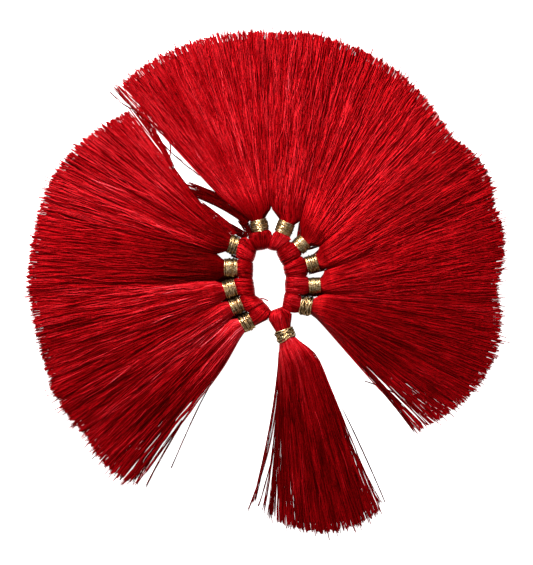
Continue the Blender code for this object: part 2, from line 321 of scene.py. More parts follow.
# A lock takes in the threads beside it, and a few strays of the next one. At a loose side the
# locks draw together so far that they part, and sway so that they touch again here and there.
lock = put(MATH, draw["lane"], given["Locks"], draw["strays"], operation="MULTIPLY_ADD")
lock = put(MATH, lock, operation="FLOOR")
seed = put(MATH, given["Seed"], 20.0)
lock_draw = put(RANDOM, None, None, lock, seed, data_type="FLOAT_VECTOR")
lock_draws = put(SEPARATE, lock_draw).node.outputs
from_right = put(MATH, 1.0, draw["lane"], operation="SUBTRACT")
loose = [
    put(MAP_RANGE, lane, 0.0, given[side], 1.0, 0.0, **SMOOTH)
    for lane, side in zip((draw["lane"], from_right), LOOSE)
]
loose = put(MATH, *loose, operation="MAXIMUM")
sway_spot = put(MATH, lock, 5.7, operation="MULTIPLY")
sway_run = put(MATH, part, 8.0, operation="MULTIPLY")
sway_spot = put(COMBINE, sway_spot, sway_run, given["Seed"])
sway = put(NOISE, sway_spot, 1.0, 1.0, 0.5)
sway = put(MATH, sway, 0.5, operation="SUBTRACT")
sway = put(MATH, sway, loose, operation="MULTIPLY")
sway = put(MATH, sway, 2.4, lock, operation="MULTIPLY_ADD")
centre = put(MATH, lock_draws["X"], 0.7, -0.35, operation="MULTIPLY_ADD")
centre = put(MATH, sway, centre)
centre = put(MATH, centre, given["Locks"], operation="DIVIDE")
pull = put("ShaderNodeMix", loose, given["Pull"], 0.8)
pull = put(MAP_RANGE, part, 0.08, 0.85, 0.0, pull, **SMOOTH)
lane = put("ShaderNodeMix", pull, draw["lane"], centre)

# Each thread wanders across its neighbours in long bends, kinks in short ones, and dives under
# them, so that none shows along its whole length. A few are strays, which lie on top, thin, and
# wander further. They are coloured pale, as painted highlights that stand for glints on them.
NOT_STRAY = 0.94
stray = put(MATH, draw["glint"], NOT_STRAY, operation="GREATER_THAN")
bends = []
for size, cycles, own in (("Wander", 2.6, 7.31), ("Kink", 9.0, 3.17)):
    spot = put(MATH, thread, own, operation="MULTIPLY")
    bend_run = put(MATH, part, cycles, operation="MULTIPLY")
    spot = put(COMBINE, spot, bend_run, given["Seed"])
    noise = put(NOISE, spot, 1.0, 1.0, 0.5).node.outputs["Color"]
    bend = put(VECTOR_MATH, noise, (0.5, 0.5, 0.5), operation="SUBTRACT")
    scaled = (("Scale", given[size]),)
    bends.append(put(VECTOR_MATH, bend, operation="SCALE", inputs=scaled))
bend = put(VECTOR_MATH, *bends)
free = put(MAP_RANGE, part, 0.05, 0.4, 0.0, 1.0, **SMOOTH)
scale = put(MATH, stray, 0.8, 1.0, operation="MULTIPLY_ADD")
scale = put(MATH, scale, free, operation="MULTIPLY")
steady = put(MATH, loose, -0.75, 1.0, operation="MULTIPLY_ADD")
scale = put(MATH, scale, steady, operation="MULTIPLY")
bend = put(VECTOR_MATH, bend, operation="SCALE", inputs=(("Scale", scale),))
bends = put(SEPARATE, bend).node.outputs
sideways = put(MATH, bends["X"], given["Width"], operation="DIVIDE")
lane = put(MATH, lane, sideways)
lane = put("ShaderNodeClamp", lane, 0.003, 0.997)
lane_place = put(MATH, lane, given["Width"], operation="MULTIPLY")

# The cut edge, in millimetres: pointed tufts stand out from it, some threads fall short of it, and
# a few stick out.
tuft_spot = put(COMBINE, lane_place, 0.0, given["Seed"])
tuft = put(NOISE, tuft_spot, 0.85, 2.0, 0.7)
reach = put(MATH, tuft, 0.5, operation="SUBTRACT")
reach = put(MATH, reach, 7.5, operation="MULTIPLY")
for drawn, power, factor in ((draw["length"], 2.0, -0.65), (draw["long"], 24.0, 3.0)):
    raised = put(MATH, drawn, power, operation="POWER")
    reach = put(MATH, raised, factor, reach, operation="MULTIPLY_ADD")
reach = put(MATH, reach, given["Tufts"], operation="MULTIPLY")
reach = put(MATH, reach, given["Length"], operation="DIVIDE")
reach = put(MATH, reach, 1.0)
run = put(MATH, part, given["Spacing"], operation="POWER")
run = put(MATH, run, reach, operation="MULTIPLY")
chart_run = put(MATH, run, given["Edge"], operation="MULTIPLY")
chart_run = put("ShaderNodeClamp", chart_run, 0.002, 0.998)
spot = put(COMBINE, lane, chart_run)

chart = put("GeometryNodeInputNamedAttribute", "chart", data_type="FLOAT_VECTOR")
under = put("GeometryNodeInputNamedAttribute", "under", data_type="FLOAT_VECTOR")
own_place = put("GeometryNodeInputPosition")
upper, lower = [
    put(SAMPLE, given["Guide"], face, chart, spot, data_type="FLOAT_VECTOR")
    for face in (own_place, under)
]
depth = put(MATH, draw["layer"], given["Sheet"], operation="POWER")
depth = put(MATH, 1.0, depth, operation="SUBTRACT")
depth = put(MATH, depth, stray, operation="MAXIMUM")
place = put("ShaderNodeMix", depth, lower, upper, data_type="VECTOR")

# Ridges run lengthwise, broad ones and fine ones with cracks between them. They fade out at the
# neck, and get shorter towards the cut edge, where only the ends of threads show.
spread_run = put(MATH, run, 3.0, operation="POWER")
spread_run = put(MATH, spread_run, 1.5, run, operation="MULTIPLY_ADD")
spread_run = put(MATH, spread_run, 9.0, operation="MULTIPLY")
ridge_spot = put(COMBINE, lane_place, spread_run, given["Seed"])
broad_spot = put(VECTOR_MATH, ridge_spot, (0.28, 0.12, 1.0), operation="MULTIPLY")
broad = put(NOISE, broad_spot, 1.0, 1.0, 0.5)
broad = put(MATH, broad, 0.55, operation="SUBTRACT")
fine = put(NOISE, ridge_spot, 1.1, 1.0, 0.6)
# This mask only darkens the colour where the fine ridges are lowest: painted shade in the cracks.
crack = put(MAP_RANGE, fine, 0.3, 0.44, -1.0, 0.0, **SMOOTH)
fine = put(MATH, fine, 0.55, operation="SUBTRACT")
lift = put(MATH, broad, 2.0, operation="MULTIPLY")
lift = put(MATH, fine, 2.0, lift, operation="MULTIPLY_ADD")
lift = put(MATH, lift, given["Ridge"], operation="MULTIPLY")
lift = put(MATH, lift, free, operation="MULTIPLY")
lift = put(MATH, bends["Z"], 0.6, lift, operation="MULTIPLY_ADD")
lift = put(MATH, lift, depth, operation="MULTIPLY")
lift = put(MATH, lift, MM, operation="MULTIPLY")
lift = put(COMBINE, 0.0, 0.0, lift)
place = put(VECTOR_MATH, place, lift)

# The threads are squeezed thin at the neck, and none lies below the surface that the tassel rests
# on.
girth = put(MATH, draw["girth"], 0.6, 0.7, operation="MULTIPLY_ADD")
girth = put(MATH, girth, given["Thickness"], operation="MULTIPLY")
squeezed = put(MAP_RANGE, run, 0.0, 0.25, 0.3, 0.5)
girth = put(MATH, girth, squeezed, operation="MULTIPLY")
slim = put(MATH, stray, -0.3, 1.0, operation="MULTIPLY_ADD")
girth = put(MATH, girth, slim, operation="MULTIPLY")
places = put(SEPARATE, place).node.outputs
height = put(MATH, places["Z"], girth, operation="MAXIMUM")
place = put(COMBINE, places["X"], places["Y"], height)

# Shade differs at random from thread to thread and lock to lock. Lower ridges are painted darker
# and higher ones paler, and the cracks darkest, as painted shade. Strays are painted paler, as
# painted highlights. Along each thread the shade follows the skirt's four shade points.
shade = 0.0
for drawn, middle, factor in (
    (draw["shade"], 0.5, 0.4),
    (lock_draws["Z"], 0.5, 0.2),
    (broad, 0.0, 0.7),
    (fine, 0.0, 0.5),
    (crack, 0.0, 0.25),
    (stray, 0.0, 0.22),
):
    drawn = put(MATH, drawn, middle, operation="SUBTRACT")
    shade = put(MATH, drawn, factor, shade, operation="MULTIPLY_ADD")
# Painted light and shade along each thread, from the skirt's four shade points.
pale = given[SHADE_POINTS[0]]
for name, start, end in zip(SHADE_POINTS[1:], (0.0, 0.16, 0.6), (0.16, 0.5, 1.0)):
    share = put(MAP_RANGE, run, start, end, 0.0, 1.0)
    pale = put("ShaderNodeMix", share, pale, given[name])
evened = put(MAP_RANGE, run, 0.75, 1.0, 1.0, 0.55)
evened = put(MATH, evened, given["Contrast"], operation="MULTIPLY")
shade = put(MATH, shade, evened, pale, operation="MULTIPLY_ADD")
SHADES = 240
shade = put("ShaderNodeClamp", shade, 0.005, 0.985)
shade = put(MATH, shade, float(SHADES), operation="MULTIPLY")
shade = put(MATH, shade, operation="FLOOR")

count = put(MATH, given["Threads"], points_each, operation="MULTIPLY")
laid = put("GeometryNodePoints", count, place)
for name, value in (("girth", girth), ("shade", shade), ("run", run)):
    laid = put(STORE, laid, None, name, value)
laid = put("GeometryNodePointsToCurves", laid, thread)
profile = put("GeometryNodeCurvePrimitiveCircle", 3, 1.0)
side = put(MATH, index, 0.5, operation="MULTIPLY")
profile = put(STORE, profile, None, "side", side)
stored = {
    name: put("GeometryNodeInputNamedAttribute", name)
    for name in ("girth", "shade", "run", "side")
}
laid = put("GeometryNodeCurveToMesh", laid, profile, stored["girth"], True)
column = put(MATH, stored["side"], 0.9, stored["shade"], operation="MULTIPLY_ADD")
column = put(MATH, column, float(SHADES), operation="DIVIDE")
row = put("ShaderNodeClamp", stored["run"], 0.002, 0.998)
column = put(COMBINE, column, row)
laid = put(STORE, laid, None, "OFBake", column, data_type="FLOAT2", domain="CORNER")

# Under the laid threads is the body of the bunch, one closed shell that shows only as the dark
# between them. Body is 1 where the rows run away from the neck as seen from above, -1 where
# they are folded back, and 0 for none.
shell = put(
    "GeometryNodeMeshCylinder",
    inputs=(("Vertices", 40), ("Side Segments", 16), ("Radius", 1.0), ("Depth", 1.0)),
    fill_type="TRIANGLE_FAN",
)
shell_place = put(SEPARATE, own_place).node.outputs
shell_run = put(MAP_RANGE, shell_place["Z"], -0.5, 0.5, 0.002, 0.96)
shell_lane = put(MATH, shell_place["X"], given["Body"], operation="MULTIPLY")
parted = put(MAP_RANGE, shell_run, 0.4, 0.8, 0.0, 1.0)
left_lane, right_lane = [
    put(MATH, parted, given[side], 0.03, operation="MULTIPLY_ADD") for side in LOOSE
]
right_lane = put(MATH, 1.0, right_lane, operation="SUBTRACT")
shell_lane = put(MAP_RANGE, shell_lane, 1.0, -1.0, left_lane, right_lane)
shell_chart_run = put(MATH, shell_run, given["Edge"], operation="MULTIPLY")
shell_depth = put(MATH, shell_place["Y"], 0.8, 0.4, operation="MULTIPLY_ADD")
shell_depth = put("ShaderNodeClamp", shell_depth, 0.06, 0.72)
spot = put(COMBINE, shell_lane, shell_chart_run)
shell_lower, shell_upper = [
    put(SAMPLE, given["Guide"], face, chart, spot, data_type="FLOAT_VECTOR")
    for face in (under, own_place)
]
spot = put("ShaderNodeMix", shell_depth, shell_lower, shell_upper, data_type="VECTOR")
for name, value in (("run", shell_run), ("side", shell_lane)):
    shell = put(STORE, shell, None, name, value)
shell = put("GeometryNodeSetPosition", shell, None, spot)
# The shell is coloured dark, in lengthwise streaks, as painted shade between the threads.
streak_spot = put(MATH, stored["side"], 30.0, operation="MULTIPLY")
streak_spot = put(COMBINE, streak_spot, stored["run"], given["Seed"])
streak = put(NOISE, streak_spot, 1.0, 1.0, 0.5)
column = put(MAP_RANGE, streak, 0.3, 0.7, 0.04, 0.2)
column = put(COMBINE, column, row)
shell = put(STORE, shell, None, "OFBake", column, data_type="FLOAT2", domain="CORNER")
packed = put(MATH, given["Body"], operation="ABSOLUTE")
shell = put("GeometryNodeSwitch", packed, None, shell, input_type="GEOMETRY")
bunch = threads.nodes.new("GeometryNodeJoinGeometry")
for layer in (laid, shell):
    threads.links.new(layer, bunch.inputs[0])
laid = put("GeometryNodeRealizeInstances", bunch.outputs[0])
laid = put("GeometryNodeSetMaterial", laid, None, given["Material"])
put("NodeGroupOutput", laid)


def linear(code):
    """An sRGB hex colour as linear red, green, blue and alpha."""
    parts = [int(code[place : place + 2], 16) / 255 for place in (1, 3, 5)]
    return [(p / 12.92 if p <= 0.04045 else ((p + 0.055) / 1.055) ** 2.4) for p in parts] + [1.0]


def blank_material(name):
    """A material without nodes yet, and the function that adds them."""
    material = bpy.data.materials.new(name)
    material.use_nodes = True
    material.node_tree.nodes.clear()
    return material, partial(add, material.node_tree)


# Silk floss, dyed crimson and only lightly twisted. The light goes into the filaments and comes
# out red, so that even the highlights are red. Along each thread its colour is made lighter and
# darker in short dashes, partly the twist's own tone and partly painted glints of light, and the
# palest, pink end of its shades is a painted highlight.
silk, put = blank_material("dyed silk floss")
chart = put("ShaderNodeUVMap", uv_map="OFBake")
columns = put(SEPARATE, chart).node.outputs
ramp = put("ShaderNodeValToRGB", columns["X"])
stops = ramp.node.color_ramp
stops.elements[0].position, stops.elements[0].color = 0.0, linear("#200000")
# The pink end of the shades stands in for highlights: painted highlight.
stops.elements[1].position, stops.elements[1].color = 1.0, linear("#F0707C")
for position, code in ((0.25, "#520001"), (0.5, "#820308"), (0.75, "#B81C24")):
    stops.elements.new(position).color = linear(code)
# Short dashes along each thread: the twist's own tone and painted glints.
twist_and_glint_spot = put(VECTOR_MATH, chart, (300.0, 75.0, 1.0), operation="MULTIPLY")
twist_and_glint = put(NOISE, twist_and_glint_spot, 1.0, 1.0, 0.6, noise_dimensions="2D")
twist_and_glint = put(MAP_RANGE, twist_and_glint, 0.3, 0.7, 0.62, 1.42)
colour = put(VECTOR_MATH, ramp, operation="SCALE", inputs=(("Scale", twist_and_glint),))
shader = put(
    "ShaderNodeBsdfPrincipled",
    inputs=(
        ("Base Color", colour),
        ("Metallic", 0.3),
        ("Roughness", 0.42),
        ("IOR", 1.55),
        ("Specular IOR Level", 0.08),
        ("Specular Tint", linear("#FF5A5A")),
    ),
)
put("ShaderNodeOutputMaterial", shader)


def in_scene(name, data):
    made = bpy.data.objects.new(name, data)
    bpy.context.scene.collection.objects.link(made)
    return made


def plain_piece(mesh, tree, sizes):
    """A plain mesh object that a tree makes from a guide, with the guide's name."""
    piece = in_scene(mesh.name, mesh)
    modifier = piece.modifiers.new(tree.name, "NODES")
    modifier.node_group = tree
    for socket in tree.interface.items_tree:
        if socket.in_out == "INPUT" and socket.name in sizes:
            modifier[socket.identifier] = sizes[socket.name]
    made = bpy.data.meshes.new_from_object(
        piece.evaluated_get(bpy.context.evaluated_depsgraph_get())
    )
    piece.modifiers.remove(modifier)
    piece.data = made
    # A primitive in the tree brings an empty slot before the material.
    material = next(slot for slot in made.materials if slot)
    made.materials.clear()
    made.materials.append(material)
    for spare in ("girth", "shade", "run", "side", "chart", "under"):
        if spare in made.attributes:
            made.attributes.remove(made.attributes[spare])
    return piece


def finish_piece(piece, slot, *nodes):
    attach(piece, "root")
    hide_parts(*nodes)


# Floss this fine is 0.1 mm thick. That wouldn't show, and it would take ten times as many threads
# to cover a skirt, so they are drawn as coarse as it needs to show, 0.34 mm, and far fewer.
THREAD = 0.34
FEWEST_THREADS = 180
THREADS_PER_MM = 9.8

for number, floss in enumerate(FLOSS, 1):
    mesh, reached = guide(f"tassel_{number:02d}_skirt", skirt_rows(number))
    edge = (skirt_side(number, 1)[-1] - skirt_side(number, -1)[-1]).length
    skirt = plain_piece(
        mesh,
        threads,
        {
            "Threads": int(FEWEST_THREADS + THREADS_PER_MM * edge),
            "Steps": 18,
            "Thickness": THREAD * MM,
            "Spacing": 1.35,
            "Edge": reached[-2] / reached[-1],
            "Width": edge,
            "Length": reached[-2],
            "Sheet": 5.0,
            "Locks": float(floss.locks),
            "Pull": floss.pull,
            "Loose Left": floss.loose_left,
            "Loose Right": floss.loose_right,
            "Wander": floss.wander,
            "Kink": 0.45 * floss.wander,
            "Ridge": floss.ridge,
            "Tufts": 1.0,
            **dict(zip(SHADE_POINTS, floss.shades)),
            "Contrast": floss.contrast,
            "Body": 1.0,
            "Seed": 100 * number,
            "Material": silk,
        },
    )
    finish_piece(skirt, "silk", f"tassel_{number:02d}_hank")

# Loose strands -------------------------------------------------------------------------------
# Bunches and single threads of the same floss that have slipped out of a skirt and lie beside it
# or across the gap to the next one. Only their tassel's binding holds them. Their threads too are
# drawn as coarse as they need to show, and hairs that lie by themselves coarser still. The darkest
# bunches lie in the shade of a binding and are filled solid.
BUNCH_THREAD = 0.24
HAIR = 0.4
HAIR_THREADS = 4
# The darkest bunches, in the gaps between and beside the bindings, are coloured almost black as
# painted shadow. Bunches darker than this are filled solid.
PAINTED_SHADOW_SHADE = 0.1

STRANDS = table(
    "Strand",
    "tassel start middle end width_start width_end threads shade",
    (1, (-5.8, 22.0), (-15.0, 28.2), (-28.5, 34.0), 4.6, 4.4, 190, 0.2),
    (1, (-5.8, 16.6), (-6.8, 19.4), (-9.4, 23.0), 3.0, 2.8, 70, 0.12),
    (1, (-7.0, 15.8), (-11.6, 19.0), (-19.0, 22.2), 2.4, 2.8, 80, 0.12),
    (1, (-23.8, 38.2), (-31.0, 44.0), (-38.5, 51.0), 0.4, 0.5, 5, 0.24),
    (1, (-23.8, 40.5), (-31.8, 47.8), (-42.7, 58.3), 0.3, 0.7, 6, 0.24),
    (1, (-41.0, 57.0), (-48.0, 63.0), (-55.5, 71.5), 0.6, 1.4, 22, 0.4),
    (1, (-47.5, 62.0), (-52.0, 64.5), (-56.5, 69.0), 0.2, 0.3, 3, 0.3),
    (3, (11.4, 15.8), (12.0, 18.6), (12.5, 21.6), 1.0, 1.2, 30, 0.3),
    (3, (14.4, 11.6), (16.7, 12.3), (19.0, 13.2), 0.7, 0.8, 20, 0.2),
    (4, (16.4, 9.2), (17.8, 10.2), (19.6, 11.8), 0.6, 0.8, 20, 0.3),
    (4, (15.4, 3.0), (18.0, 3.8), (21.2, 4.6), 0.7, 0.9, 24, 0.2),
    (6, (33.5, -28.5), (44.0, -41.0), (54.4, -54.6), 1.4, 1.2, 26, 0.24),
    (6, (38.5, -34.0), (47.5, -43.0), (57.5, -53.0), 1.0, 1.0, 16, 0.26),
    (6, (12.0, -4.4), (16.5, -4.4), (22.0, -4.3), 1.1, 1.8, 30, 0.08),
    (6, (47.5, -41.0), (43.0, -38.5), (35.0, -35.5), 0.15, 0.1, 2, 0.1),
    (7, (4.8, -25.0), (2.0, -50.0), (-5.2, -82.8), 0.7, 1.0, 26, 0.24),
    (7, (4.2, -40.0), (0.5, -62.0), (-7.0, -83.2), 0.3, 0.5, 8, 0.26),
    (7, (4.5, -44.0), (3.2, -66.0), (1.0, -86.5), 0.6, 1.8, 28, 0.24),
    (7, (4.6, -36.0), (2.6, -60.0), (-1.4, -85.0), 0.4, 0.9, 14, 0.24),
    (7, (4.2, -52.0), (1.6, -66.0), (-3.4, -82.5), 0.2, 0.3, 4, 0.2),
    (7, (27.5, -45.5), (34.5, -60.0), (43.4, -80.3), 0.2, 0.1, 3, 0.1),
    (7, (32.6, -61.5), (37.2, -72.0), (41.8, -80.4), 0.5, 1.2, 16, 0.3),
    (7, (4.8, -46.0), (3.6, -64.0), (2.2, -86.8), 0.8, 2.0, 30, 0.26),
    (8, (-19.4, -36.0), (-27.0, -50.8), (-35.1, -69.3), 0.15, 0.15, 4, 0.1),
    (8, (-28.5, -48.0), (-37.0, -62.0), (-43.8, -74.9), 0.5, 0.5, 12, 0.2),
    (8, (-30.2, -49.7), (-36.4, -58.7), (-44.3, -69.5), 0.7, 1.0, 14, 0.24),
    (8, (-32.0, -50.0), (-41.0, -62.0), (-48.0, -73.0), 0.9, 2.8, 40, 0.24),
    (8, (-34.6, -49.7), (-45.0, -61.5), (-53.0, -71.0), 1.0, 2.0, 30, 0.26),
    (8, (-2.4, -5.9), (-0.7, -6.0), (1.0, -6.8), 0.2, 0.1, 4, 0.5),
    (9, (-6.8, -10.8), (-9.6, -12.1), (-13.4, -13.6), 0.9, 1.8, 40, 0.04),
    (10, (-9.4, -4.6), (-12.2, -5.7), (-16.4, -7.2), 0.9, 1.8, 40, 0.04),
    (11, (-10.0, 1.7), (-13.4, 1.4), (-18.4, 0.5), 1.0, 2.6, 60, 0.06),
    (12, (-9.7, 8.6), (-11.0, 9.0), (-12.6, 9.7), 0.9, 0.7, 20, 0.04),
    (12, (-11.2, 17.0), (-15.6, 21.2), (-24.4, 28.0), 3.4, 3.0, 90, 0.36),
    (12, (-23.5, 33.0), (-27.5, 34.5), (-31.0, 37.0), 0.2, 0.2, 3, 0.24),
    (12, (-33.5, 41.5), (-40.5, 53.5), (-46.8, 63.0), 1.4, 3.6, 60, 0.42),
    (12, (-35.0, 44.0), (-34.5, 49.0), (-36.5, 54.0), 0.2, 0.2, 3, 0.4),
)


STRAND_STEPS = 8
STRAND_LANES = 5
STRAND_DROP = 1.5
STRAND_HEIGHT = 0.35
STRAND_LIFT = 0.1


def strand_rows(strand):
    """Rows across a strand, which bends through its middle and comes down to the surface."""
    start, middle, end = Vector(strand.start), Vector(strand.middle), Vector(strand.end)
    pull_to = 2 * middle - (start + end) / 2
    narrow = min(strand.width_start, strand.width_end)
    rows = []
    for step in range(STRAND_STEPS + 1):
        part = step / STRAND_STEPS
        place = start * (1 - part) ** 2 + pull_to * 2 * part * (1 - part) + end * part**2
        way = (pull_to - start) * (1 - part) + (end - pull_to) * part
        width = strand.width_start + (strand.width_end - strand.width_start) * part
        aside = left_of(way) * width / 2
        top = STRAND_DROP * (1 - part) + STRAND_HEIGHT + 0.12 * narrow
        upper, lower = [], []
        for lane in range(STRAND_LANES):
            across = 2 * lane / (STRAND_LANES - 1) - 1
            crown = 1 - 0.6 * across**2
            upper.append((*(place + aside * across), top * crown))
            lower.append((*(place + aside * across), STRAND_LIFT))
        rows.append((upper, lower))
    return rows


def join(name, pieces, material):
    """One mesh object from several, all of one material."""
    joined = bmesh.new()
    for piece in pieces:
        joined.from_mesh(piece.data)
    mesh = bpy.data.meshes.new(name)
    joined.to_mesh(mesh)
    joined.free()
    mesh.materials.append(material)
    for piece in pieces:
        bpy.data.objects.remove(piece)
    return in_scene(name, mesh)


for number in sorted({strand.tassel for strand in STRANDS}):
    made = []
    for place, strand in enumerate(s for s in STRANDS if s.tassel == number):
        mesh, reached = guide(f"strand_{number}_{place}", strand_rows(strand))
        made.append(
            plain_piece(
                mesh,
                threads,
                {
                    "Threads": strand.threads,
                    "Steps": STRAND_STEPS,
                    "Thickness": (BUNCH_THREAD if strand.threads > HAIR_THREADS else HAIR) * MM,
                    "Spacing": 1.0,
                    "Edge": 0.94,
                    "Width": strand.width_end,
                    "Length": reached[-1],
                    "Sheet": 2.0,
                    "Locks": 1.0 + strand.width_end,
                    "Pull": 0.2,
                    **dict.fromkeys(LOOSE, TIGHT),
                    "Wander": 2.0 + strand.width_end,
                    "Kink": 1.0,
                    "Ridge": 0.0,
                    "Tufts": (1.5 + 0.5 * strand.width_end) * min(1.0, reached[-1] / 30),
                    **dict.fromkeys(SHADE_POINTS, strand.shade),
                    "Contrast": 0.4,
                    "Body": 1.0 if strand.shade < PAINTED_SHADOW_SHADE else 0.0,
                    "Seed": 2000 + 100 * number + 10 * place,
                    "Material": silk,
                },
            )
        )
    strands = join(f"tassel_{number:02d}_loose_strands", made, silk)
    finish_piece(strands, "silk", f"tassel_{number:02d}_hank")

# Heads ---------------------------------------------------------------------------------------
# The same floss where it is folded over the cord, so the threads run from the binding over the
# top, round the cord and back underneath. Neighbouring heads press together into one soft roll.

SEAMS = table(
    "Seam",
    "outer_x outer_y inner_x inner_y",
    (2.6, 17.5, 0.5, 11.9),
    (9.0, 15.3, 3.4, 11.1),
    (13.5, 9.8, 6.0, 5.7),
    (15.0, 2.2, 6.9, 1.8),
    (13.0, -4.6, 6.7, -3.5),
    (9.3, -11.2, 5.7, -8.8),
    (0.8, -13.2, 1.9, -10.3),
    (-6.6, -10.9, -0.5, -7.2),
    (-9.7, -4.7, -3.7, -4.8),
    (-10.9, 1.3, -4.7, 1.4),
    (-11.2, 9.0, -4.6, 7.1),
    (-6.9, 16.2, -3.3, 11.2),
)
NOSE = 3.0
LEAST_TOP = 0.15
HEAD_WALL = 0.9
HEAD_SHOULDER = 0.5
# How pale each head is. These are painted light and shade, set head by head so that each comes out
# lighter or darker as the light falls on it.
HEAD_SHADES =(0.38, 0.51, 0.48, 0.46, 0.48, 0.48, 0.49, 0.42, 0.44, 0.40, 0.40, 0.46)


def head_rows(number):
    """Rows round the fold: from the neck over the top, round the nose and back underneath."""
    tassel = TASSELS[number - 1]
    way = direction(tassel.heading)
    aside = left_of(way)
    neck = Vector((tassel.neck_x, tassel.neck_y))
    limit = -tassel.length / 2 - HEAD_SHOULDER
    sides = []
    for seam in (SEAMS[number - 2], SEAMS[number - 1]):
        outer, inner = Vector(seam[:2]), Vector(seam[2:])
        outer_at, inner_at = (outer - neck).dot(way), (inner - neck).dot(way)
        if outer_at > limit:
            outer = outer.lerp(inner, (outer_at - limit) / (outer_at - inner_at))
        sides.append((outer, inner))
    length = sum((outer - inner).length for outer, inner in sides) / 2
    nose_from = max(LEAST_TOP, 1 - NOSE / length)

    def in_neck(forward, face, lane, wall):
        """A point in the round neck, on its upper face, 1, or its lower face, -1."""
        turn = math.pi * lane / (LANES - 1)
        half = tassel.width / 2 - BINDING_WALL - wall
        place = neck + way * forward * tassel.length + aside * math.cos(turn) * half
        return (*place, HEIGHT / 2 + face * half * math.sin(turn))

    def on_head(part, angle, lane, wall):
        """A point past the neck. angle is 90 on top, 0 at the tip of the nose and -90 below."""
        across = 2 * lane / (LANES - 1) - 1
        ahead = part
        inset = 0
        if part == nose_from:
            ahead = part + (1 - part) * math.cos(math.radians(angle))
            inset = wall / length * math.cos(math.radians(angle))
        ahead = ahead * (1 - 0.04 * abs(across) ** 3) - inset
        outer, inner = [left.lerp(right, (across + 1) / 2) for left, right in zip(*sides)]
        crown = 1 - 0.35 * abs(across) ** 4
        rise = (HEIGHT / 2 * crown - wall) * math.sin(math.radians(angle))
        return (*outer.lerp(inner, ahead), HEIGHT / 2 + rise)

    rows = [(in_neck, -0.4, 1), (in_neck, -0.5, 1)]
    rows += [(on_head, 0, 90), (on_head, nose_from / 2, 90)]
    rows += [(on_head, nose_from, angle) for angle in (90, 68, 46, 23, 0, -23, -46, -68, -90)]
    rows += [(on_head, nose_from / 2, -90), (on_head, 0, -90)]
    rows += [(in_neck, -0.5, -1), (in_neck, -0.4, -1)]
    return [
        [[point(*where, lane, wall) for lane in range(LANES)] for wall in (0, HEAD_WALL)]
        for point, *where in rows
    ]


for number, shade in enumerate(HEAD_SHADES, 1):
    mesh, _ = guide(f"tassel_{number:02d}_head", head_rows(number))
    head = plain_piece(
        mesh,
        threads,
        {
            "Threads": 150,
            "Steps": 12,
            "Thickness": THREAD * MM,
            "Spacing": 1.0,
            "Edge": 1.0,
            "Width": 7.0,
            "Length": 18.0,
            "Sheet": 2.0,
            "Locks": 9.0,
            "Pull": 0.0,
            **dict.fromkeys(LOOSE, TIGHT),
            "Wander": 2.0,
            "Kink": 0.6,
            "Ridge": 0.0,
            "Tufts": 0.0,
            **dict.fromkeys(SHADE_POINTS, shade),
            "Contrast": 0.6,
            "Body": -1.0,
            "Seed": 100 * number + 50,
            "Material": silk,
        },
    )
    finish_piece(head, "silk", f"tassel_{number:02d}_hank")

# Bindings ------------------------------------------------------------------------------------
# Gold metallic thread wound round each neck by hand, turn beside turn, with a few turns crossing
# over the rest. It grips the floss by its own tension.

WINDINGS = table(
    "Winding",
    "turns thickness unevenness crossings slant",
    (16, 0.32, 0.5, 6, 0.5),
    (19, 0.28, 0.3, 3, 0.4),
    (16, 0.28, 0.2, 2, 0.3),
    (9, 0.40, 0.2, 1, 0.6),
    (17, 0.30, 0.2, 2, 0.2),
    (11, 0.34, 0.4, 6, 1.4),
    (10, 0.34, 0.4, 5, 1.3),
    (10, 0.36, 0.5, 2, 0.9),
    (11, 0.34, 0.5, 2, 0.7),
    (12, 0.36, 0.5, 3, 0.6),
    (13, 0.36, 0.5, 3, 0.6),
    (9, 0.36, 0.6, 3, 0.6),
)
TURN_STEPS = 22

